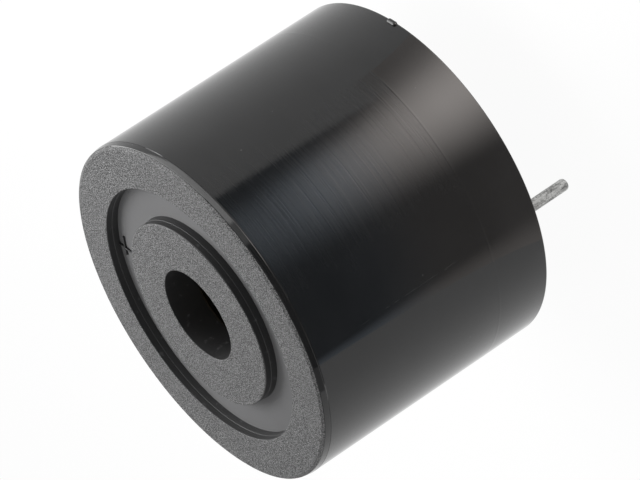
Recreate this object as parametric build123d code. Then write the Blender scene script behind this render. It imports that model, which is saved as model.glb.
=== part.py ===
from build123d import *
import os
from math import cos, radians, sin, tan

# Piezo buzzer with its own driver circuit, soldered to a board by two pins.
# Millimetres. The origin is the centre of the seating rim, +Z points out of the sound hole,
# and the positive pin is on +X. The moulding gate is on -Y and the board's key on +Y.

# Housing, outside
base_diameter = 30.0
housing_height = 22.4
side_draft = 0.5
rim_chamfer_width = 0.35
rim_chamfer_height = 0.65
sound_hole_diameter = 7.9
boss_diameter = 16.1
groove_diameter = 22.2
groove_depth = 1.1
groove_draft = 4.0
gate_nub_width = 1.0
gate_nub_height = 0.45
gate_nub_reach = 0.2
gate_nub_rounding = 0.15

# Housing, inside
front_wall = 3.0
skirt_wall = 1.05
board_seat_height = 5.0
board_seat_width = 0.6
chamber_depth = 4.5
pocket_width = 1.3
support_ring_wall = 1.2
stiffener_count = 8
stiffener_width = 1.0
stiffener_setback = 0.8
key_width = 1.6
key_depth = 0.8
key_setback = 0.8

# Sounding disc
diaphragm_thickness = 0.3
diaphragm_clearance = 0.25
bare_rim_width = 2.9
ceramic_thickness = 0.3
bead_width = 1.2
bead_height = 1.2

# Circuit board
board_thickness = 1.6
board_clearance = 0.2
key_clearance = 0.15
pin_hole_clearance = 0.1

# Pins
pin_pitch = 20.0
pin_diameter = 1.0
pin_length = 6.7
pin_tip_rounding = 0.3
pin_shoulder_diameter = 1.8
pin_shoulder_cover = 0.05
pin_stub_diameter = 0.6
pin_stub = 0.9

# Solder joints, each a cone with a blunt top
pin_joint_radius = 1.2
pin_joint_top = 0.7
pin_joint_height = 0.7
wire_joint_radius = 0.9
wire_joint_top = 0.45
wire_joint_height = 0.85
chip_joint_reach = 0.4
chip_joint_share = 0.8

# Potting compound
potting_recess = 0.4
meniscus_width = 0.6
meniscus_height = 0.28

# Chip parts
resistor_length = 3.2
resistor_width = 1.6
resistor_height = 0.6
resistor_cap_length = 0.5
resistor_cap_proud = 0.04
transistor_length = 2.9
transistor_width = 1.3
transistor_height = 1.0
transistor_standoff = 0.1
transistor_span = 2.4
transistor_leg_pitch = 0.95
transistor_leg_width = 0.4
transistor_leg_thickness = 0.15
transistor_foot = 0.3

# Lead wires
wire_diameter = 0.7
wire_surface_gap = 0.05
wire_bend_radius = 2.0
drive_dot_radius = 3.3
tongue_setback = 3.2
pad_setback = 4.3

# Heights and radii that follow from the sizes above
base_radius = base_diameter / 2
front_inner = housing_height - front_wall
disc_front = front_inner - chamber_depth
disc_back = disc_front - diaphragm_thickness
ceramic_back = disc_back - ceramic_thickness
board_front = board_seat_height
board_back = board_front - board_thickness
lower_bore_radius = base_radius - skirt_wall
upper_bore_radius = lower_bore_radius - board_seat_width
ring_outer_radius = upper_bore_radius - pocket_width
ring_inner_radius = ring_outer_radius - support_ring_wall
diaphragm_radius = upper_bore_radius - diaphragm_clearance
ceramic_radius = diaphragm_radius - bead_width - bare_rim_width
board_radius = lower_bore_radius - board_clearance
pad_radius = board_radius - pad_setback
shoulder_end = potting_recess + pin_shoulder_cover
pin_offset = pin_pitch / 2
pin_places = [(pin_offset, 0.0), (-pin_offset, 0.0)]

# Places on the board, as x and y from its centre
resistor_places = {"base": (0.0, 6.6), "collector": (5.2, 4.4), "feedback": (-5.2, 4.4)}
transistor_place = (0.0, 1.6)


def around(radius, angle):
    """The x and y of a point at a radius, and at an angle in degrees from +X."""
    return (radius * cos(radians(angle)), radius * sin(radians(angle)))


# Places of each wire: its joint on the disc, and its joint on the board. The ground wire's
# joint is on the bare brass, and the feedback wire's is on the tongue of the silver.
drive_places = (around(drive_dot_radius, -42), around(pad_radius, -42))
feedback_places = (around(ceramic_radius - tongue_setback, -164), around(pad_radius, -156))
ground_places = (around(ceramic_radius + bare_rim_width / 2, -105), around(pad_radius, -136))


def outer_radius(height):
    """The drafted side wall's radius at a height above the seating rim."""
    return base_radius - height * tan(radians(side_draft))


def upright(radius, low, high, place=(0.0, 0.0)):
    """An upright cylinder between two heights."""
    return Pos(place[0], place[1], (low + high) / 2) * Cylinder(radius, high - low)


def turned(*corners):
    """A solid turned about Z from the corners of its half section, as (radius, height)."""
    return revolve(Plane.XZ * make_face(Polyline(*corners, close=True)), Axis.Z)


def cup_blank():
    """The turned body of the cup, with the groove in front and the support ring inside."""
    hole = sound_hole_diameter / 2
    boss = boss_diameter / 2
    groove = groove_diameter / 2
    top = housing_height
    floor = top - groove_depth
    spread = groove_depth * tan(radians(groove_draft))
    chamfer_foot = top - rim_chamfer_height
    side_top = outer_radius(chamfer_foot)
    face_edge = outer_radius(top) - rim_chamfer_width
    return turned(
        (hole, front_inner),
        (hole, top),
        (boss, top),
        (boss + spread, floor),
        (groove - spread, floor),
        (groove, top),
        (face_edge, top),
        (side_top, chamfer_foot),
        (base_radius, 0),
        (lower_bore_radius, 0),
        (lower_bore_radius, board_front),
        (upper_bore_radius, board_front),
        (upper_bore_radius, front_inner),
        (ring_outer_radius, front_inner),
        (ring_outer_radius, disc_front),
        (ring_inner_radius, disc_front),
        (ring_inner_radius, front_inner),
    )


def stiffeners():
    """Short ribs that tie the support ring to the side wall, clear of the disc's edge."""
    low = disc_front + stiffener_setback
    middle = (ring_outer_radius + upper_bore_radius) / 2
    length = pocket_width + support_ring_wall / 2 + board_seat_width / 2
    rib = Pos(middle, 0, (low + front_inner) / 2) * Box(length, stiffener_width, front_inner - low)
    return [Rot(0, 0, 360 * turn / stiffener_count) * rib for turn in range(stiffener_count)]


def key_block(width, depth, low, high):
    """A block on the +Y side of the lower bore that reaches inwards by a depth."""
    inner = lower_bore_radius - depth
    outer = lower_bore_radius + skirt_wall / 2
    return Pos(0, (inner + outer) / 2, (low + high) / 2) * Box(width, outer - inner, high - low)


def gate_nub():
    """The trimmed stub of the moulding gate, on -Y at the rim."""
    root = base_radius - skirt_wall / 2
    length = base_radius + gate_nub_reach - root
    stub = extrude(RectangleRounded(gate_nub_width, length, gate_nub_rounding), gate_nub_height)
    return Pos(0, -(root + length / 2), 0) * stub


def make_housing():
    """The moulded cup: one piece of black plastic."""
    key = key_block(key_width, key_depth, key_setback, board_front + board_seat_width)
    return cup_blank() + stiffeners() + key + gate_nub()


def make_diaphragm():
    """The brass plate that rests on the support ring."""
    return upright(diaphragm_radius, disc_back, disc_front)


def make_ceramic():
    """The piezo disc, bonded to the middle of the plate's back."""
    return upright(ceramic_radius, ceramic_back, disc_back)


def make_bead():
    """Silicone that fills the gap round the plate and laps over its back edge."""
    foot = disc_back - bead_height
    return turned(
        (diaphragm_radius - bead_width, disc_back),
        (diaphragm_radius, disc_back),
        (diaphragm_radius, disc_front),
        (upper_bore_radius, disc_front),
        (upper_bore_radius, foot),
    )


def make_pin(side):
    """One tinned pin: a stub through the board, a shoulder cast in the resin, and a round shaft."""
    shaft = upright(pin_diameter / 2, -pin_length, shoulder_end)
    shaft = fillet(shaft.edges().group_by(Axis.Z)[0], pin_tip_rounding)
    shoulder = upright(pin_shoulder_diameter / 2, shoulder_end, board_back)
    stub = upright(pin_stub_diameter / 2, board_back, board_front + pin_stub)
    return Pos(side * pin_offset, 0, 0) * (shaft + shoulder + stub)


def make_resistor(place):
    """A chip resistor: a flat ceramic body with a metal cap on each end."""
    body = Box(resistor_length, resistor_width, resistor_height)
    proud = 2 * resistor_cap_proud
    cap = Box(resistor_cap_length, resistor_width + proud, resistor_height + proud)
    shift = (resistor_length - resistor_cap_length) / 2 + resistor_cap_proud
    chip = body + Pos(shift, 0, 0) * cap + Pos(-shift, 0, 0) * cap
    return Pos(*place, board_front + resistor_height / 2 + resistor_cap_proud) * chip


def gull_leg():
    """One leg along +X: out of the body's side, down to the board, and flat on it."""
    top = transistor_standoff + transistor_height / 2
    knee = transistor_span / 2 - transistor_foot
    low = transistor_leg_thickness
    outline = Polyline(
        (0, top),
        (knee, top),
        (knee, low),
        (transistor_span / 2, low),
        (transistor_span / 2, 0),
        (knee - low, 0),
        (knee - low, top - low),
        (0, top - low),
        close=True,
    )
    return extrude(Plane.XZ * make_face(outline), transistor_leg_width / 2, both=True)


def transistor_feet():
    """Each leg's turn about Z and its place along the body."""
    return [(90, 0.0), (-90, transistor_leg_pitch), (-90, -transistor_leg_pitch)]


def make_transistor():
    """A small moulded transistor on three bent legs, one on one side and two on the other."""
    middle = transistor_standoff + transistor_height / 2
    body = Pos(0, 0, middle) * Box(transistor_length, transistor_width, transistor_height)
    legs = [Pos(along, 0, 0) * Rot(0, 0, turn) * gull_leg() for turn, along in transistor_feet()]
    return Pos(*transistor_place, board_front) * (body + legs)


def chip_joint(width, height):
    """A wedge of solder along +X from an upright end face at x = 0."""
    outline = Polyline((0, 0), (chip_joint_reach, 0), (0, chip_joint_share * height), close=True)
    return extrude(Plane.XZ * make_face(outline), width / 2, both=True)


def chip_joints():
    """The wedges of solder at the ends of the resistors and the feet of the transistor."""
    end = chip_joint(resistor_width, resistor_height)
    reach = resistor_length / 2 + resistor_cap_proud
    joints = []
    for place in resistor_places.values():
        chip = Pos(*place, board_front)
        joints += [chip * Pos(reach, 0, 0) * end, chip * Rot(0, 0, 180) * Pos(reach, 0, 0) * end]
    foot = Pos(transistor_span / 2, 0, 0) * chip_joint(transistor_leg_width, transistor_leg_thickness)
    body = Pos(*transistor_place, board_front)
    return joints + [body * Pos(along, 0, 0) * Rot(0, 0, turn) * foot for turn, along in transistor_feet()]


def joint_cone(place, base, grow, foot_radius, top_radius, height):
    """A blunt cone of solder on a face at a height, growing up (1) or down (-1)."""
    turn = Rot(0, 0, 0) if grow > 0 else Rot(180, 0, 0)
    return Pos(*place, base + grow * height / 2) * turn * Cone(foot_radius, top_radius, height)


def pin_joint(place, pin):
    """The solder round a pin's stub on the board's front."""
    cone = joint_cone(place, board_front, 1, pin_joint_radius, pin_joint_top, pin_joint_height)
    return cone - pin


def wire_joint(place, base, grow, wire):
    """The solder round a wire's end, on the board or on the disc."""
    return joint_cone(place, base, grow, wire_joint_radius, wire_joint_top, wire_joint_height) - wire


def make_wire(places, surface):
    """A wire from its joint on the disc, round one bend and down to its joint on the board."""
    dot, pad = places
    start = surface - wire_diameter / 2 - wire_surface_gap
    path = FilletPolyline(
        (*dot, start), (*pad, start), (*pad, board_front + wire_surface_gap), radius=wire_bend_radius
    )
    return sweep(Plane(origin=path @ 0, z_dir=path % 0) * Circle(wire_diameter / 2), path)


def make_board():
    """The round board with its key notch and a hole for each pin."""
    board = upright(board_radius, board_back, board_front)
    depth = key_depth + key_clearance
    notch = key_block(key_width + 2 * key_clearance, depth, board_back, board_front)
    hole_radius = pin_stub_diameter / 2 + pin_hole_clearance
    return board - notch - [upright(hole_radius, board_back, board_front, place) for place in pin_places]


def make_potting(housing, pins):
    """The resin cast over the board's back, which creeps up the wall and down each pin."""
    crest = potting_recess - meniscus_height
    pool = turned(
        (0, board_back),
        (0, potting_recess),
        (lower_bore_radius - meniscus_width, potting_recess),
        (lower_bore_radius, crest),
        (lower_bore_radius, board_back),
    )
    foot = pin_diameter / 2 + meniscus_width
    creep = Cone(foot, pin_diameter / 2, meniscus_height)
    middle = potting_recess - meniscus_height / 2
    creeps = [Pos(*place, middle) * Rot(180, 0, 0) * creep for place in pin_places]
    return pool + creeps - housing - pins


housing = make_housing()
pins = [make_pin(1), make_pin(-1)]
drive_lead = make_wire(drive_places, ceramic_back)
feedback_lead = make_wire(feedback_places, ceramic_back)
ground_lead = make_wire(ground_places, disc_back)
leads = {drive_places: drive_lead, feedback_places: feedback_lead, ground_places: ground_lead}

nodes = {
    "housing": housing,
    "diaphragm": make_diaphragm(),
    "piezo_ceramic": make_ceramic(),
    "bonding_bead": make_bead(),
    "drive_lead": drive_lead,
    "feedback_lead": feedback_lead,
    "ground_lead": ground_lead,
    "drive_solder": wire_joint(drive_places[0], ceramic_back, -1, drive_lead),
    "feedback_solder": wire_joint(feedback_places[0], ceramic_back, -1, feedback_lead),
    "ground_solder": wire_joint(ground_places[0], disc_back, -1, ground_lead),
    "board_solder": [wire_joint(places[1], board_front, 1, lead) for places, lead in leads.items()],
    "circuit_board": make_board(),
    "driver_transistor": make_transistor(),
    "base_resistor": make_resistor(resistor_places["base"]),
    "collector_resistor": make_resistor(resistor_places["collector"]),
    "feedback_resistor": make_resistor(resistor_places["feedback"]),
    "chip_solder": chip_joints(),
    "positive_pin": pins[0],
    "negative_pin": pins[1],
    "pin_solder": [pin_joint(place, pin) for place, pin in zip(pin_places, pins)],
    "potting_compound": make_potting(housing, pins),
}

os.makedirs("parts", exist_ok=True)
for name, piece in nodes.items():
    pieces = piece if isinstance(piece, list) else [piece]
    export_step(Compound([solid for each in pieces for solid in each.solids()]), f"parts/{name}.step")
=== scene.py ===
import math

import bmesh
import bpy
from mathutils import Matrix, Vector, noise


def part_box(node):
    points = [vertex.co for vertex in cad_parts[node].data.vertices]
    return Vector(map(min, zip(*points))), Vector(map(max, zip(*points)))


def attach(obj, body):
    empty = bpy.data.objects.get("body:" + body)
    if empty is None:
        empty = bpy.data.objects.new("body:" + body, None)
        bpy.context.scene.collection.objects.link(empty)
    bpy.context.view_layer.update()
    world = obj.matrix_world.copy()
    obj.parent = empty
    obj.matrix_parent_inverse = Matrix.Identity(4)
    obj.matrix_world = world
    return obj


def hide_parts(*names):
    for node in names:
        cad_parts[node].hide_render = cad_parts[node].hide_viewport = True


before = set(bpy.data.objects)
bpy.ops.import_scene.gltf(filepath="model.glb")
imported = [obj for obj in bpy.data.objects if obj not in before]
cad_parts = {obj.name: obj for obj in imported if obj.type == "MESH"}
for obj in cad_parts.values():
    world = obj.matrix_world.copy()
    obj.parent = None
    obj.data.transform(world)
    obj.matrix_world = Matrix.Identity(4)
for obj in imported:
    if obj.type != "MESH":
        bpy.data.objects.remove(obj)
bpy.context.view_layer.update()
mm = 0.001

# The cup is one moulding of black plastic: a drafted side wall, a front with a sound hole,
# a raised boss and a ring groove, and inside it a support ring, stiffeners and a key.
# Its front is spark-eroded to a grain in the mould, and its side is polished.
cup_low, cup_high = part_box("housing")
base_radius = cup_high.x
top = cup_high.z
draft = math.radians(0.5)
mould_edge = 0.07 * mm

hole_radius = 3.95 * mm
hole_inner_edge = 0.2 * mm
boss_radius = 8.05 * mm
boss_edge = 0.12 * mm
groove_radius = 11.1 * mm
groove_depth = 1.1 * mm
groove_draft = math.radians(4.0)
floor_height = top - groove_depth
boss_foot = boss_radius + groove_depth * math.tan(groove_draft)
groove_foot = groove_radius - groove_depth * math.tan(groove_draft)
foot_edge = mould_edge / 3

ledge_depth = 0.55 * mm
ledge_width = 0.018 * mm
ledge_drop = 0.014 * mm
ledge_edge = 0.007 * mm
ledge_height = top - ledge_depth
ledge_start = (ledge_depth * math.tan(groove_draft) - ledge_width) / 2
boss_ledge = boss_radius + ledge_start
groove_ledge = groove_radius - ledge_start

rim_width = 0.35 * mm
rim_soft = 0.3 * mm
rim_reach = 0.245 * mm
face_edge = base_radius - top * math.tan(draft) - rim_width
rim_radius = face_edge + rim_reach
rim_slope = 0.02 * mm
line_depth = 0.03 * mm
upper_line_top = top - 0.15 * mm
upper_line_middle = top - 0.18 * mm
upper_line_foot = top - 0.21 * mm
lower_line_top = top - 0.61 * mm
lower_line_middle = top - 0.67 * mm
lower_line_foot = top - 0.72 * mm
lower_line_lip = 0.005 * mm
lip_edge = 0.02 * mm
line_foot_edge = 0.01 * mm
wall_radius = base_radius - lower_line_foot * math.tan(draft)

front_inner = top - 3.0 * mm
lower_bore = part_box("potting_compound")[1].x
upper_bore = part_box("bonding_bead")[1].x
seat_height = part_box("circuit_board")[1].z
disc_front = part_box("diaphragm")[1].z
ring_outer = upper_bore - 1.3 * mm
ring_inner = ring_outer - 1.2 * mm
ring_root = 0.3 * mm
seat_edge = 0.12 * mm
bore_edge = 0.1 * mm
SATIN, GRAINED, FLOOR, WALL = range(4)


def rounded(corners, closed=True, steps=4, guard=0.03 * mm):
    """The points of a half section whose corners are (radius, height, edge radius, finish)."""
    points = []
    count = len(corners)
    for index, (radius, height, edge, finish) in enumerate(corners):
        corner = Vector((radius, height))
        if edge == 0 or (not closed and index in (0, count - 1)):
            points.append((corner, finish))
            continue
        before = Vector(corners[index - 1][:2]) - corner
        after = Vector(corners[(index + 1) % count][:2]) - corner
        reach = edge / math.tan(before.angle(after) / 2)
        start = corner + before.normalized() * reach
        end = corner + after.normalized() * reach
        last_finish = corners[index - 1][3]
        room = min(before.length, after.length) / 2
        guarded = reach + guard < room
        if guarded:
            points.append((corner + before.normalized() * (reach + guard), last_finish))
        middle = corner + (before.normalized() + after.normalized()).normalized() * (
            edge / math.sin(before.angle(after) / 2)
        )
        first = start - middle
        sweep = first.angle_signed(end - middle)
        for step in range(steps + 1):
            point = middle + Matrix.Rotation(-sweep * step / steps, 2) @ first
            points.append((point, last_finish if step < steps / 2 else finish))
        if guarded:
            points.append((corner + after.normalized() * (reach + guard), finish))
    return points


def turned(name, corners, closed=True, turns=240, steps=4, centre=(0.0, 0.0)):
    """A mesh object turned about an upright axis from a half section."""
    section = rounded(corners, closed, steps)
    angles = [2 * math.pi * turn / turns for turn in range(turns)]
    work = bmesh.new()
    rings = []
    for point, _ in section:
        if point.x == 0:
            rings.append([work.verts.new((*centre, point.y))] * turns)
            continue
        ring = []
        for angle in angles:
            x = centre[0] + point.x * math.cos(angle)
            y = centre[1] + point.x * math.sin(angle)
            ring.append(work.verts.new((x, y, point.y)))
        rings.append(ring)
    last = len(rings) if closed else len(rings) - 1
    for index in range(last):
        low, high = rings[index], rings[(index + 1) % len(rings)]
        for turn in range(turns):
            ahead = (turn + 1) % turns
            loop = dict.fromkeys((low[turn], low[ahead], high[ahead], high[turn]))
            if len(loop) > 2:
                face = work.faces.new(list(loop))
                face.material_index = section[index][1]
                face.smooth = True
    bmesh.ops.recalc_face_normals(work, faces=work.faces)
    mesh = bpy.data.meshes.new(name)
    work.to_mesh(mesh)
    work.free()
    mesh.set_sharp_from_angle(angle=math.radians(40))
    piece = bpy.data.objects.new(name, mesh)
    bpy.context.scene.collection.objects.link(piece)
    return piece


def block(work, low, high, turn=0.0, finish=WALL, edge=0.0, segments=2):
    """Adds a box between two corners to a bmesh, turned about Z, with its edges broken."""
    middle = (Vector(low) + Vector(high)) / 2
    made = bmesh.ops.create_cube(work, size=1.0)
    size = Matrix.Diagonal((*(Vector(high) - Vector(low)), 1.0))
    matrix = Matrix.Rotation(turn, 4, "Z") @ Matrix.Translation(middle) @ size
    bmesh.ops.transform(work, matrix=matrix, verts=made["verts"])
    faces = {face for vert in made["verts"] for face in vert.link_faces}
    for face in faces:
        face.material_index = finish
    if edge:
        edges = list({e for face in faces for e in face.edges})
        bmesh.ops.bevel(
            work, geom=edges, offset=edge, segments=segments, affect="EDGES", profile=0.5
        )


cup = turned(
    "cup",
    [
        (hole_radius, front_inner, hole_inner_edge, WALL),
        (hole_radius, top, mould_edge, GRAINED),
        (boss_radius, top, boss_edge, WALL),
        (boss_ledge, ledge_height, ledge_edge, WALL),
        (boss_ledge + ledge_width, ledge_height - ledge_drop, ledge_edge, WALL),
        (boss_foot, floor_height, foot_edge, FLOOR),
        (groove_foot, floor_height, foot_edge, WALL),
        (groove_ledge - ledge_width, ledge_height - ledge_drop, ledge_edge, WALL),
        (groove_ledge, ledge_height, ledge_edge, WALL),
        (groove_radius, top, mould_edge, GRAINED),
        (face_edge, top, rim_soft, GRAINED),
        (rim_radius, upper_line_top, 0, SATIN),
        (rim_radius - line_depth, upper_line_middle, 0, SATIN),
        (rim_radius + rim_slope, upper_line_foot, 0, SATIN),
        (wall_radius + lower_line_lip, lower_line_top, lip_edge, SATIN),
        (wall_radius - line_depth, lower_line_middle, 0, SATIN),
        (wall_radius, lower_line_foot, line_foot_edge, SATIN),
        (base_radius, 0, seat_edge, SATIN),
        (lower_bore, 0, bore_edge, WALL),
        (lower_bore, seat_height, 0, WALL),
        (upper_bore, seat_height, 0, WALL),
        (upper_bore, front_inner, 0, WALL),
        (ring_outer, front_inner, 0, WALL),
        (ring_outer, disc_front, 0, WALL),
        (ring_inner, disc_front, 0, WALL),
        (ring_inner, front_inner, ring_root, WALL),
    ],
    turns=288,
)

# What the mould adds to the turned form: eight stiffeners between the ring and the wall,
# the key that the board's notch fits, and the trimmed stub of the gate at the wall's foot.
# Each is sunk a little into the wall that it grows from.
sunk = 0.3 * mm
stiffener_count = 8
stiffener_width = 1.0 * mm
stiffener_inner = ring_outer - 0.4 * mm
stiffener_low = disc_front + 0.8 * mm
stiffener_high = front_inner + 0.1 * mm
key_width = 1.6 * mm
key_depth = 0.8 * mm
key_low = 0.8 * mm
key_high = seat_height + 0.1 * mm
key_edge = 0.1 * mm
gate_width = 1.0 * mm
gate_height = 0.45 * mm
gate_edge = 0.21 * mm
gate_root = -base_radius + 0.4 * mm
work = bmesh.new()
work.from_mesh(cup.data)
for index in range(stiffener_count):
    block(
        work,
        (stiffener_inner, -stiffener_width / 2, stiffener_low),
        (upper_bore + sunk, stiffener_width / 2, stiffener_high),
        turn=2 * math.pi * index / stiffener_count,
    )
block(
    work,
    (-key_width / 2, lower_bore - key_depth, key_low),
    (key_width / 2, lower_bore + sunk, key_high),
    edge=key_edge,
)
block(
    work,
    (-gate_width / 2, cup_low.y, 0),
    (gate_width / 2, gate_root, gate_height),
    finish=SATIN,
    edge=gate_edge,
    segments=5,
)
work.to_mesh(cup.data)
work.free()


class Field:
    """A value that changes over a surface: a node's output, with Python's arithmetic."""

    def __init__(self, tree, socket):
        self.tree = tree
        self.socket = socket

    def maths(self, operation, first, second):
        """What a Math node makes of two fields or numbers."""
        node = self.tree.nodes.new("ShaderNodeMath")
        node.operation = operation
        for socket, value in zip(node.inputs, (first, second)):
            join(self.tree, socket, value)
        return Field(self.tree, node.outputs[0])

    def __add__(self, other):
        return self.maths("ADD", self, other)

    def __sub__(self, other):
        return self.maths("SUBTRACT", self, other)

    def __rsub__(self, other):
        return self.maths("SUBTRACT", other, self)

    def __mul__(self, other):
        return self.maths("MULTIPLY", self, other)

    def __truediv__(self, other):
        return self.maths("DIVIDE", self, other)

    def __pow__(self, other):
        return self.maths("POWER", self, other)

    __radd__ = __add__
    __rmul__ = __mul__


def join(tree, socket, value):
    """Links a field to a socket, or sets the socket to a plain value."""
    if isinstance(value, Field):
        tree.links.new(value.socket, socket)
    else:
        socket.default_value = value


class Nodes:
    """A tree of nodes, all of them added by one method."""

    def __init__(self, tree):
        self.tree = tree

    def add(self, kind, settings, sockets, output=0):
        """A node of one kind, with its settings made first and then its sockets."""
        node = self.tree.nodes.new("ShaderNode" + kind)
        for name, value in settings.items():
            if name == "stops":
                ramp = node.color_ramp.elements
                while len(ramp) < len(value):
                    ramp.new(0.5)
                for element, (position, colour) in zip(ramp, value):
                    element.position = position
                    element.color = (*colour, 1.0)
            else:
                setattr(node, name, value)
        for name, value in sockets.items():
            join(self.tree, node.inputs[name], value)
        return Field(self.tree, node.outputs[output])

    def root(self, value):
        """The square root of a field."""
        return self.add("Math", {"operation": "SQRT"}, {0: value})

    def size(self, value):
        """A field without its sign."""
        return self.add("Math", {"operation": "ABSOLUTE"}, {0: value})


class Finish(Nodes):
    """A material made of nodes round one Principled shader."""

    def __init__(self, name, **constants):
        self.material = bpy.data.materials.new(name)
        self.material.use_nodes = True
        super().__init__(self.material.node_tree)
        self.shader = self.tree.nodes["Principled BSDF"]
        for socket, value in constants.items():
            self.shader.inputs[socket.replace("_", " ")].default_value = value
        self.place = self.add("TexCoord", {}, {}, "Object")

    def axes(self):
        """The place on the surface as three fields, x, y and z."""
        return [self.add("SeparateXYZ", {}, {"Vector": self.place}, axis) for axis in "XYZ"]

    def noise(self, scale, detail=2.0, place=None, roughness=0.5):
        """Smooth noise, from 0 to 1."""
        sockets = {
            "Vector": place or self.place,
            "Scale": scale,
            "Detail": detail,
            "Roughness": roughness,
        }
        return self.add("TexNoise", {}, sockets, "Fac")

    def stretch(self, *scales):
        """The surface's own place, stretched by a factor along each axis."""
        return self.add("VectorMath", {"operation": "MULTIPLY"}, {0: self.place, 1: scales})

    def ease(self, value, low, high):
        """A soft step that rises from 0 at low to 1 at high."""
        sockets = {"Value": value, "From Min": low, "From Max": high}
        return self.add("MapRange", {"interpolation_type": "SMOOTHSTEP"}, sockets, "Result")

    def tint(self, share, first, second):
        """A colour between two, by a share from 0 to 1."""
        stops = [(0.0, first), (1.0, second)]
        return self.add("ValToRGB", {"stops": stops}, {"Fac": share}, "Color")

    def relief(self, height, distance, strength=1.0):
        """A bump whose height field is a share of a distance in metres."""
        sockets = {"Height": height, "Distance": distance, "Strength": strength}
        return self.add("Bump", {}, sockets, "Normal")

    def paint(self, **fields):
        """Joins fields to the shader's own sockets."""
        for name, value in fields.items():
            join(self.tree, self.shader.inputs[name.replace("_", " ")], value)


# The polished side wall is nearly a mirror. A witness line runs round it near the foot,
# where two parts of the mould meet: fine turning lines cover the wall above the line, and
# below it the wall is smoother. A few specks of dust and one long scratch lie on it.
witness_height = 4.9 * mm
witness_width = 0.13 * mm
turning_start = 0.15 * mm
rubbed_way = math.radians(-120)
rubbed_from = 0.86
rubbed_full = 0.97
scratch_way = math.radians(-163.3)
scratch_low = 7.0 * mm
scratch_high = 18.5 * mm
scratch_width = 0.05 * mm
side_relief = 0.005 * mm

side = Finish("polished_side", IOR=1.46)
x, y, z = side.axes()
above = side.ease(z, witness_height, witness_height + turning_start)
hairlines = side.noise(1.0, 3.0, side.stretch(130, 130, 8500), 0.7)
broad_lines = side.noise(1.0, 2.0, side.stretch(70, 70, 2300), 0.5)
patches = side.noise(320, 3.0)
dust = side.ease(side.noise(3400, 1.0), 0.82, 0.86)
lines = side.ease(hairlines, 0.3, 0.7) * 0.6 + side.ease(broad_lines, 0.3, 0.7) * 0.4
witness = 1 - side.ease(side.size(z - witness_height), 0, witness_width)
off_line = side.size(y * math.cos(scratch_way) - x * math.sin(scratch_way))
on_line = 1 - side.ease(off_line, scratch_width / 5, scratch_width)
out_along = x * math.cos(scratch_way) + y * math.sin(scratch_way)
same_side = side.ease(out_along, 0, base_radius / 2)
scratch_start = side.ease(z, scratch_low, scratch_low + 2 * mm)
scratch_end = 1 - side.ease(z, scratch_high - 3 * mm, scratch_high)
broken = side.ease(side.noise(900, 2.0), 0.4, 0.6)
scratch = on_line * same_side * (scratch_start * scratch_end) * broken
towards = (x * math.cos(rubbed_way) + y * math.sin(rubbed_way)) / base_radius
rubbed = above * (0.2 + 0.8 * side.ease(towards, rubbed_from, rubbed_full))
height = lines * rubbed * 0.75 + witness * 1.3 + dust * 0.2 - scratch * 0.3
marks = dust + patches * 0.08 + lines * rubbed * 0.06 + scratch * 0.14
side.paint(
    Base_Color=side.tint(marks, (0.0052, 0.0054, 0.0058), (0.11, 0.11, 0.11)),
    Roughness=0.045 + patches * 0.02 + rubbed * lines * 0.05 + dust * 0.3,
    Normal=side.relief(height, side_relief),
)

# The grained front: the mould's spark-eroded texture, a dense field of tiny rounded pits.
# The plastic took it up as it was moulded, so it covers the face and the top of the boss.
grain = Finish("grained_front", IOR=1.42)
pits = grain.noise(9500, 1.0)
crumbs = grain.noise(16500, 1.0)
clouds = grain.noise(260, 2.0)
texture = grain.ease(pits * 0.5 + crumbs * 0.5, 0.43, 0.6)
grain.paint(
    Base_Color=grain.tint(texture, (0.002, 0.002, 0.0021), (0.165, 0.165, 0.167)),
    Roughness=0.5 + clouds * 0.05 + texture * 0.1,
    Normal=grain.relief(texture, 0.06 * mm, 0.6),
)

# The groove's floor: the same plastic off a stoned mould face, matt and nearly plain.
# Faint strokes of the stone and a slight haze are all that shows on it.
groove_floor = Finish("groove_floor", IOR=1.35)
stoning = groove_floor.noise(1.0, 3.0, groove_floor.stretch(3000, 9000, 3000), 0.6)
haze = groove_floor.noise(420, 2.0)
groove_floor.paint(
    Base_Color=groove_floor.tint(haze, (0.118, 0.118, 0.120), (0.132, 0.132, 0.134)),
    Roughness=0.72 + haze * 0.06 + stoning * 0.05,
    Normal=groove_floor.relief(stoning, 0.003 * mm, 0.5),
)

# The upright walls of the groove and of the hole, and all of the inside: plain moulded
# surfaces with faint drag lines along the way they left the mould.
wall = Finish("drawn_walls", IOR=1.5)
drag = wall.noise(1.0, 3.0, wall.stretch(5200, 5200, 420), 0.6)
scuffs = wall.ease(wall.noise(1500, 4.0), 0.62, 0.72)
wall.paint(
    Base_Color=wall.tint(scuffs, (0.017, 0.017, 0.0175), (0.05, 0.05, 0.051)),
    Roughness=0.4 + drag * 0.12 + scuffs * 0.15,
    Normal=wall.relief(drag + scuffs * 0.5, 0.006 * mm, 0.6),
)
for finish in (side, grain, groove_floor, wall):
    cup.data.materials.append(finish.material)
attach(cup, "root")
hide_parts("housing")

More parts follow.
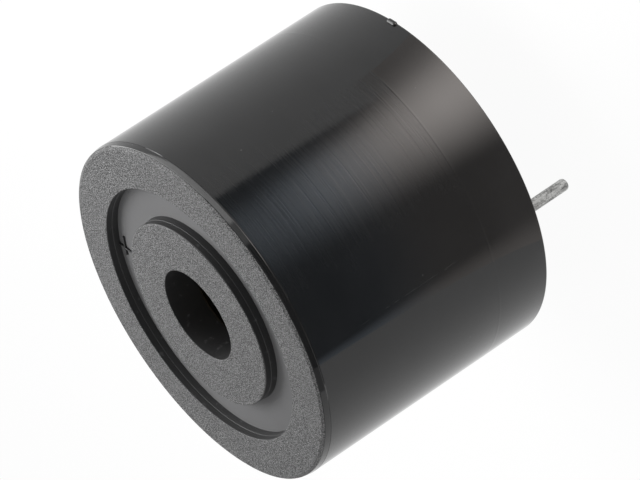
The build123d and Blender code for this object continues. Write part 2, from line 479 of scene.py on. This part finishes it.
# The plus sign stands up from the groove's floor beside the positive pin. It is part of
# the moulding: two thin crossed ribs with soft tops, one of which meets the groove's wall.
plus_radius = 10.3 * mm
plus_inner = 9.47 * mm
plus_outer = groove_foot + 0.03 * mm
plus_left = -1.19 * mm
plus_right = 0.77 * mm
plus_width = 0.13 * mm
plus_low = floor_height - 0.05 * mm
plus_high = floor_height + 0.18 * mm
plus_edge = 0.04 * mm
plus_turn = math.radians(-1.0)
work = bmesh.new()
for low_x, high_x, low_y, high_y in (
    (plus_inner, plus_outer, -plus_width / 2, plus_width / 2),
    (plus_radius - plus_width / 2, plus_radius + plus_width / 2, plus_left, plus_right),
):
    block(
        work,
        (low_x, low_y, plus_low),
        (high_x, high_y, plus_high),
        turn=plus_turn,
        finish=0,
        edge=plus_edge,
    )
plus_mesh = bpy.data.meshes.new("plus_sign")
work.to_mesh(plus_mesh)
work.free()
plus = bpy.data.objects.new("plus_sign", plus_mesh)
bpy.context.scene.collection.objects.link(plus)
plus.data.materials.append(wall.material)
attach(plus, "root")

# The two pins are steel wire dipped in molten tin, so their skin is slightly lumpy and
# dull, with rounded ends. Each has a shoulder under the board and a thin end through it.
pin_tip = 0.3 * mm
pin_edge = 0.05 * mm
shaft = 0.5 * mm
stub = 0.3 * mm
shoulder_low = 0.45 * mm
shoulder_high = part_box("circuit_board")[0].z
tin = Finish("dipped_tin", Metallic=1.0)
lumps = tin.noise(1700, 3.0, roughness=0.55)
frost = tin.noise(7500, 3.0, roughness=0.7)
streaks = tin.noise(1.0, 2.0, tin.stretch(4200, 4200, 700), 0.6)
sheen = tin.ease(frost * 0.5 + streaks * 0.5, 0.33, 0.67)
tin.paint(
    Base_Color=tin.tint(sheen, (0.09, 0.09, 0.088), (0.52, 0.52, 0.51)),
    Roughness=0.2 + frost * 0.14 + lumps * 0.08,
    Normal=tin.relief(lumps * 0.7 + frost * 0.3, 0.035 * mm, 0.8),
)
for side_name in ("positive", "negative"):
    low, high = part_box(f"{side_name}_pin")
    shoulder = (high.x - low.x) / 2
    pin = turned(
        f"{side_name}_pin_tinned",
        [
            (0, low.z, 0, 0),
            (shaft, low.z, pin_tip, 0),
            (shaft, shoulder_low, 0, 0),
            (shoulder, shoulder_low, pin_edge, 0),
            (shoulder, shoulder_high, pin_edge, 0),
            (stub, shoulder_high, 0, 0),
            (stub, high.z, pin_edge, 0),
            (0, high.z, 0, 0),
        ],
        closed=False,
        turns=48,
        steps=6,
        centre=((low.x + high.x) / 2, 0.0),
    )
    pin.data.materials.append(tin.material)
    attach(pin, "root")
    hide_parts(f"{side_name}_pin")

# The potting compound is black resin poured over the board's back. It set with a hollow
# edge where it wets the wall and the pins, and with a faint swell over its face.
resin_low, resin_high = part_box("potting_compound")
resin_face = resin_low.z + 0.28 * mm
resin_radius = lower_bore - 0.01 * mm
resin_rings = 60
resin_turns = 144
ring_crowding = 0.8
wet_width = 0.6 * mm
wet_climb = 0.26 * mm
swell_height = 0.02 * mm
swell_scale = 190
swell_slice = 0.3
pin_low, pin_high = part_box("positive_pin")
pin_axis = (pin_low.x + pin_high.x) / 2
work = bmesh.new()
grid = []
for ring in range(resin_rings + 1):
    radius = resin_radius * (ring / resin_rings) ** ring_crowding
    row = []
    for turn in range(resin_turns):
        angle = 2 * math.pi * turn / resin_turns
        spot = Vector((radius * math.cos(angle), radius * math.sin(angle)))
        climb = max(0.0, 1 - (lower_bore - radius) / wet_width) ** 2
        for sign in (-1, 1):
            away = (spot - Vector((sign * pin_axis, 0))).length - shaft
            climb = max(climb, min(1.0, max(0.0, 1 - away / wet_width)) ** 2)
        swell = noise.noise(Vector((*spot, swell_slice)) * swell_scale) * swell_height
        level = resin_face - climb * wet_climb + swell * (1 - climb)
        row.append(work.verts.new((*spot, level)))
        if ring == 0:
            row = row * resin_turns
            break
    grid.append(row)
top_ring = [work.verts.new((*vert.co.xy, resin_high.z)) for vert in grid[-1]]
centre_top = work.verts.new((0, 0, resin_high.z))
grid += [top_ring, [centre_top] * resin_turns]
for low_row, high_row in zip(grid, grid[1:]):
    for turn in range(resin_turns):
        ahead = (turn + 1) % resin_turns
        loop = dict.fromkeys((low_row[turn], low_row[ahead], high_row[ahead], high_row[turn]))
        if len(loop) > 2:
            work.faces.new(list(loop)).smooth = True
bmesh.ops.recalc_face_normals(work, faces=work.faces)
resin_mesh = bpy.data.meshes.new("poured_resin")
work.to_mesh(resin_mesh)
work.free()
resin_mesh.set_sharp_from_angle(angle=math.radians(50))
resin = bpy.data.objects.new("poured_resin", resin_mesh)
bpy.context.scene.collection.objects.link(resin)
epoxy = Finish("black_epoxy", IOR=1.55)
skin = epoxy.noise(700, 3.0)
cells = epoxy.add("TexVoronoi", {}, {"Vector": epoxy.place, "Scale": 420.0}, "Distance")
bubbles = epoxy.ease(cells, 0.03, 0.07)
epoxy.paint(
    Base_Color=epoxy.tint(
        epoxy.ease(skin, 0.3, 0.7), (0.006, 0.006, 0.007), (0.026, 0.026, 0.029)
    ),
    Roughness=0.12 + epoxy.ease(skin, 0.35, 0.65) * 0.18,
    Normal=epoxy.relief(bubbles + skin * 0.8, 0.03 * mm, 0.7),
)
resin.data.materials.append(epoxy.material)
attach(resin, "root")
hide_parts("potting_compound")


def dress(finish, *names):
    """Gives a finish to pieces that keep the mesh they came with."""
    for name in names:
        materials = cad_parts[name].data.materials
        materials.clear()
        materials.append(finish.material)


# The diaphragm is a blanked disc of rolled brass, seen at the bottom of the sound hole.
# Fine rolling lines cross it one way, and it has begun to tarnish.
brass = Finish("rolled_brass", Metallic=1.0)
rolling = brass.noise(1.0, 3.0, brass.stretch(250, 6500, 250), 0.6)
stain = brass.noise(240, 4.0)
brass.paint(
    Base_Color=brass.tint(stain, (0.33, 0.26, 0.16), (0.46, 0.38, 0.25)),
    Roughness=0.34 + rolling * 0.1 + stain * 0.14,
    Normal=brass.relief(rolling, 0.004 * mm, 0.6),
)
dress(brass, "diaphragm")

# The piezo disc is pale ceramic under a coat of fired silver, printed short of its edge,
# with a tongue for the feedback wire set apart by a bare line.
coat_radius = 8.5 * mm
coat_edge = 0.1 * mm
tongue_x = -5.6 * mm
tongue_y = -1.6 * mm
tongue_radius = 1.7 * mm
bare_line = 0.15 * mm
silver = Finish("fired_silver")
x, y, _ = silver.axes()
out = silver.root(x * x + y * y)
from_tongue = silver.root((x - tongue_x) ** 2.0 + (y - tongue_y) ** 2.0)
off_tongue = silver.size(from_tongue - tongue_radius)
printed = 1 - silver.ease(out, coat_radius, coat_radius + coat_edge)
coated = printed * silver.ease(off_tongue, bare_line, bare_line + coat_edge)
print_grain = silver.noise(4200, 3.0)
silver.paint(
    Base_Color=silver.tint(coated, (0.66, 0.61, 0.5), (0.68, 0.67, 0.64)),
    Metallic=coated * 0.9,
    Roughness=0.6 - coated * 0.2 + print_grain * 0.1,
    Normal=silver.relief(print_grain + coated * 0.5, 0.006 * mm, 0.5),
)
dress(silver, "piezo_ceramic")

# The bead of silicone rubber holds the disc's edge in the cup. It is milky and smooth,
# with a soft waviness from the nozzle.
rubber = Finish("milky_silicone", IOR=1.41, Subsurface_Weight=0.3, Subsurface_Scale=0.001)
waves = rubber.noise(500, 2.0)
rubber.paint(
    Base_Color=rubber.tint(waves, (0.62, 0.62, 0.59), (0.74, 0.74, 0.71)),
    Roughness=0.24 + waves * 0.12,
    Normal=rubber.relief(waves, 0.03 * mm, 0.6),
)
dress(rubber, "bonding_bead")

# Three thin wires run from the disc to the board, in extruded insulation of red, white and
# black. It is smooth, with a slight mottle and a fine unevenness from the die.
for name, colour, dark, light in (
    ("drive_lead", "red", (0.42, 0.02, 0.015), (0.55, 0.03, 0.02)),
    ("feedback_lead", "white", (0.68, 0.68, 0.66), (0.78, 0.78, 0.76)),
    ("ground_lead", "black", (0.015, 0.015, 0.015), (0.03, 0.03, 0.03)),
):
    insulation = Finish(f"{colour}_insulation", IOR=1.48)
    mottle = insulation.noise(1300, 3.0)
    insulation.paint(
        Base_Color=insulation.tint(mottle, dark, light),
        Roughness=0.32 + mottle * 0.12,
        Normal=insulation.relief(insulation.noise(4800, 2.0), 0.008 * mm, 0.5),
    )
    dress(insulation, name)

# The wires, the chips and the pins are joined by solder. It sets bright, with a frosted
# grain and a soft sag.
set_solder = Finish("set_solder", Metallic=1.0)
crystals = set_solder.noise(3600, 4.0, roughness=0.65)
set_solder.paint(
    Base_Color=set_solder.tint(crystals, (0.45, 0.45, 0.44), (0.72, 0.72, 0.71)),
    Roughness=0.18 + crystals * 0.2,
    Normal=set_solder.relief(crystals, 0.02 * mm, 0.6),
)
dress(set_solder, "drive_solder", "feedback_solder", "ground_solder")
dress(set_solder, "board_solder", "chip_solder", "pin_solder")

# The board is a disc of glass laminate, lacquered green. The weave of the glass shows
# faintly through the lacquer.
laminate = Finish("lacquered_laminate", IOR=1.5)
threads = {"Vector": laminate.place, "Scale": 330.0}
warp, weft = (laminate.add("TexWave", {"bands_direction": axis}, threads, "Fac") for axis in "XY")
weave = warp * 0.5 + weft * 0.5
laminate.paint(
    Base_Color=laminate.tint(weave, (0.012, 0.085, 0.03), (0.03, 0.14, 0.05)),
    Roughness=0.25 + weave * 0.12,
    Normal=laminate.relief(weave, 0.01 * mm, 0.4),
)
dress(laminate, "circuit_board")

# The transistor drives the disc from the board's disc side. Its body is moulded in matt
# black epoxy with a fine grain.
moulding = Finish("transistor_epoxy", IOR=1.5)
fine = moulding.noise(6400, 3.0, roughness=0.65)
moulding.paint(
    Base_Color=moulding.tint(fine, (0.018, 0.018, 0.019), (0.035, 0.035, 0.036)),
    Roughness=0.5 + fine * 0.15,
    Normal=moulding.relief(fine, 0.02 * mm, 0.5),
)
dress(moulding, "driver_transistor")

# The three chip resistors beside the transistor are coated with a dark glaze, fired on,
# which is smooth with a slight ripple.
glaze = Finish("glazed_chip", IOR=1.5)
fired = glaze.noise(2100, 3.0)
glaze.paint(
    Base_Color=glaze.tint(fired, (0.02, 0.02, 0.024), (0.045, 0.045, 0.05)),
    Roughness=0.2 + fired * 0.15,
    Normal=glaze.relief(fired, 0.01 * mm, 0.5),
)
dress(glaze, "base_resistor", "collector_resistor", "feedback_resistor")


def looked_at(nodes):
    """1 for rays from the lens, a reflection or a clear thing, and 0 for rays of light."""
    lens, glossy, through = (
        nodes.add("LightPath", {}, {}, f"Is {kind} Ray")
        for kind in ("Camera", "Glossy", "Transmission")
    )
    return lens + glossy + through


# The stage: a pale floor at the tips of the pins. It is white to the lens and in
# reflections, and keeps part of the object's soft shadow. From below it can be seen through.
floor_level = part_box("positive_pin")[0].z
floor_radius = 1.6
shadow_share = 0.05
work = bmesh.new()
bmesh.ops.create_circle(work, cap_ends=True, segments=96, radius=floor_radius)
floor_mesh = bpy.data.meshes.new("floor")
work.to_mesh(floor_mesh)
work.free()
floor = bpy.data.objects.new("floor", floor_mesh)
floor.location.z = floor_level
bpy.context.scene.collection.objects.link(floor)
paper = Finish("pale_floor", Roughness=0.9)
fibres = paper.noise(900, 3.0)
paper.paint(Base_Color=paper.tint(fibres, (0.86, 0.86, 0.86), (0.88, 0.88, 0.88)))
lit_paper = Field(paper.tree, paper.shader.outputs[0])
glow = paper.add("Emission", {}, {"Strength": 1.0}, "Emission")
whiteness = looked_at(paper) * (1 - shadow_share)
whitened = paper.add("MixShader", {}, {0: whiteness, 1: lit_paper, 2: glow}, "Shader")
clear = paper.add("BsdfTransparent", {}, {}, "BSDF")
from_below = paper.add("NewGeometry", {}, {}, "Backfacing")
one_sided = paper.add("MixShader", {}, {0: from_below, 1: whitened, 2: clear}, "Shader")
join(paper.tree, paper.tree.nodes["Material Output"].inputs["Surface"], one_sided)
floor.data.materials.append(paper.material)

# The world is a white room: white where it is looked at, and dimmer as a light, so that
# the lamps give the front its shading.
room_light = 0.42
world = bpy.data.worlds.new("white_room")
bpy.context.scene.world = world
world.use_nodes = True
room = Nodes(world.node_tree)
background = room.tree.nodes["Background"]
join(room.tree, background.inputs["Color"], (1, 1, 1, 1))
join(room.tree, background.inputs["Strength"], room_light)
dim = Field(room.tree, background.outputs[0])
white = room.add("Background", {}, {"Color": (1, 1, 1, 1), "Strength": 1.0}, "Background")
either = room.add("MixShader", {}, {0: looked_at(room), 1: dim, 2: white}, "Shader")
join(room.tree, room.tree.nodes["World Output"].inputs["Surface"], either)

# The camera looks down on the front, turned in its mount as the product lies in the picture.
# It stands far off with a long lens, and is shifted so that the product sits left of centre.
view_azimuth = math.radians(-44.1)
view_elevation = math.radians(24.68)
view_roll = math.radians(-123.45)
view_distance = 291.25 * mm
view_shift_right = 7.644 * mm
view_shift_up = 5.464 * mm
focal_share = 3700 / 640
back = Vector(
    (
        math.sin(view_azimuth) * math.cos(view_elevation),
        -math.cos(view_azimuth) * math.cos(view_elevation),
        math.sin(view_elevation),
    )
)
level = Vector((0, 0, 1)).cross(back).normalized()
upward = back.cross(level)
right = level * math.cos(view_roll) + upward * math.sin(view_roll)
up = upward * math.cos(view_roll) - level * math.sin(view_roll)
camera_data = bpy.data.cameras.new("camera")
camera_data.sensor_width = 36
camera_data.lens = focal_share * camera_data.sensor_width
camera_data.clip_start = 0.01
camera = bpy.data.objects.new("camera", camera_data)
bpy.context.scene.collection.objects.link(camera)
stand = back * view_distance - right * view_shift_right - up * view_shift_up
camera.matrix_world = (
    Matrix.Translation(stand) @ Matrix((right, up, back)).transposed().to_4x4()
)
bpy.context.scene.camera = camera


def softbox(name, azimuth, elevation, distance, size, power):
    """A square area lamp that faces the object from a direction given in degrees."""
    data = bpy.data.lights.new(name, "AREA")
    data.shape = "SQUARE"
    data.size = size
    data.energy = power
    lamp = bpy.data.objects.new(name, data)
    turn, rise = math.radians(azimuth), math.radians(elevation)
    direction = Vector(
        (math.cos(turn) * math.cos(rise), math.sin(turn) * math.cos(rise), math.sin(rise))
    )
    lamp.location = direction * distance
    lamp.rotation_euler = direction.to_track_quat("Z", "Y").to_euler()
    bpy.context.scene.collection.objects.link(lamp)


# Plain soft light: a large box overhead, a smaller one behind, and a small one close by on
# the side of the positive pin, which makes the front a little lighter there.
softbox("overhead_box", azimuth=0, elevation=72, distance=0.6, size=0.5, power=0.7)
softbox("rear_box", azimuth=150, elevation=35, distance=0.7, size=0.35, power=0.5)
softbox("near_box", azimuth=-18, elevation=46, distance=0.1, size=0.08, power=0.115)


def reflected(name, mesh, finish):
    """A staging piece that only polished surfaces see, as a studio's cards and sheets are."""
    piece = bpy.data.objects.new(name, mesh)
    bpy.context.scene.collection.objects.link(piece)
    for ray in ("camera", "diffuse", "transmission", "volume_scatter", "shadow"):
        setattr(piece, f"visible_{ray}", False)
    piece.data.materials.append(finish.material)


def flat(angle, length):
    """A point on the floor at a length from the axis, along a direction in degrees."""
    turn = math.radians(angle)
    return (length * math.cos(turn), length * math.sin(turn))


# A dark sheet lies on the floor in front of the object, seen only in reflections. Its emission is
# a painted reflection that darkens the middle of the side. Its right edge is crisp and kinked,
# and its left edge is straight and soft.
crisp_edge = [
    (3.1 * mm, -17.7 * mm),
    (6.9 * mm, -39.4 * mm),
    (-3.3 * mm, -40.5 * mm),
    (4 * mm, -80 * mm),
    (19 * mm, -165 * mm),
]
soft_point = Vector((-26.7 * mm, 0.0))
soft_way = math.radians(164.3)
soft_inside = 2 * mm
soft_outside = -6 * mm
soft_far = 140 * mm
soft_near = -8 * mm
sheet_inner = 18 * mm
sheet_outer = 190 * mm
sheet_lift = 0.3 * mm
outward = Vector((math.cos(soft_way), math.sin(soft_way)))
inward = Vector((-outward.y, outward.x))
outline = crisp_edge + [flat(angle, sheet_outer) for angle in range(-95, -186, -15)]
for reach in (soft_far, soft_near):
    outline.append(tuple(soft_point + outward * reach + inward * soft_outside))
outline += [flat(angle, sheet_inner) for angle in range(-175, -80, 5)]
sheet_mesh = bpy.data.meshes.new("dark_sheet")
corners = [(*point, floor_level + sheet_lift) for point in outline]
sheet_mesh.from_pydata(corners, [], [list(range(len(corners)))])

# A warm glow is painted into the sheet's emission close to the object's foot, as a painted
# reflection of light there. It fades with distance and towards its sides, and is brightest in the
# band that the smooth foot of the wall reflects. On one side it is narrower further out, and
# gives way to a painted pale patch near the foot.
glow_way = math.radians(-114.5)
glow_spread = math.radians(32)
glow_near = 33 * mm
glow_far = 82 * mm
glow_level = 4.4
glow_floor = 0.16
foot_band_near = 38 * mm
foot_band_far = 41 * mm
patch_near = 37 * mm
patch_from = math.radians(18)
patch_full = math.radians(30)
sheet = Finish("dark_sheet", Roughness=1.0, IOR=1.0, Emission_Strength=1.0)
x, y, _ = sheet.axes()
out = sheet.root(x * x + y * y)
forward = x * math.cos(glow_way) + y * math.sin(glow_way)
sideways = y * math.cos(glow_way) - x * math.sin(glow_way)
bearing = sheet.add("Math", {"operation": "ARCTAN2"}, {0: sideways, 1: forward})
past_middle = sheet.ease(bearing, math.radians(8), math.radians(22))
narrowed = past_middle * sheet.ease(out, 36 * mm, 50 * mm)
spread = sheet.size(bearing) + 0.11 * narrowed
fading = {"Value": out, "From Min": glow_far, "From Max": glow_near, "To Max": 1 - glow_floor}
fall = glow_floor + sheet.add("MapRange", {}, fading, "Result")
foot_band = 1 + 0.18 * (1 - sheet.ease(out, foot_band_near, foot_band_far))
painted_warm_glow = glow_level * fall * (1 - sheet.ease(spread, 0, glow_spread)) * foot_band
painted_pale_patch = sheet.ease(bearing, patch_from, patch_full) * (
    1 - sheet.ease(out, patch_near, foot_band_far)
)
# The rest of the sheet's emission is painted shade. It is lighter towards its soft edge, towards
# the object's foot and in the pale patch, and dimmest elsewhere.
inside = (x - soft_point.x) * inward.x + (y - soft_point.y) * inward.y
softened = 1 - sheet.ease(inside, soft_outside, soft_inside)
middle_shade = 0.2 * (1 - sheet.ease(out, 50 * mm, 80 * mm))
foot_shade = 0.15 * (1 - sheet.ease(out, 28 * mm, 42 * mm))
shade = 0.17 + middle_shade + foot_shade + 0.6 * softened + 0.5 * painted_pale_patch
# The painted reflection is warm near the foot and turns bluish further out.
tone = sheet.tint(sheet.ease(out, 45 * mm, 75 * mm), (1.03, 0.96, 0.92), (0.84, 0.96, 1.1))
lit_tone = {0: tone, "Scale": painted_warm_glow + shade}
sheet.paint(
    Base_Color=(0, 0, 0, 1),
    Emission_Color=sheet.add("VectorMath", {"operation": "SCALE"}, lit_tone),
)
reflected("dark_sheet", sheet_mesh, sheet)

# Three cards stand round the sheet, seen only in reflections, and their emission is painted
# reflection. A dark one keeps the middle of the front's edge dark, a grey one softens its left
# end, and a bright one on its right lights the edge there.
card_steps = 12
for name, first, last, distance, tall, shades in (
    ("dark_card", -117, -196, 200 * mm, 165 * mm, (0.1, 0.16)),
    ("grey_card", -196, -212, 200 * mm, 165 * mm, (0.38, 0.44)),
    ("bright_card", -102, -25, 215 * mm, 70 * mm, (2.8, 3.5)),
):
    angles = [first + (last - first) * step / card_steps for step in range(card_steps + 1)]
    foot = [(*flat(angle, distance), floor_level) for angle in angles]
    head = [(*point[:2], tall) for point in foot]
    above_foot = card_steps + 1
    card_faces = [(i, i + 1, above_foot + i + 1, above_foot + i) for i in range(card_steps)]
    card_mesh = bpy.data.meshes.new(name)
    card_mesh.from_pydata(foot + head, [], card_faces)
    card = Finish(name, Roughness=1.0, IOR=1.0, Emission_Strength=1.0)
    darkest, lightest = ((shade,) * 3 for shade in shades)
    card.paint(
        Base_Color=(0, 0, 0, 1),
        Emission_Color=card.tint(card.noise(60, 2.0), darkest, lightest),
    )
    reflected(name, card_mesh, card)

bpy.context.scene.view_settings.view_transform = "Standard"
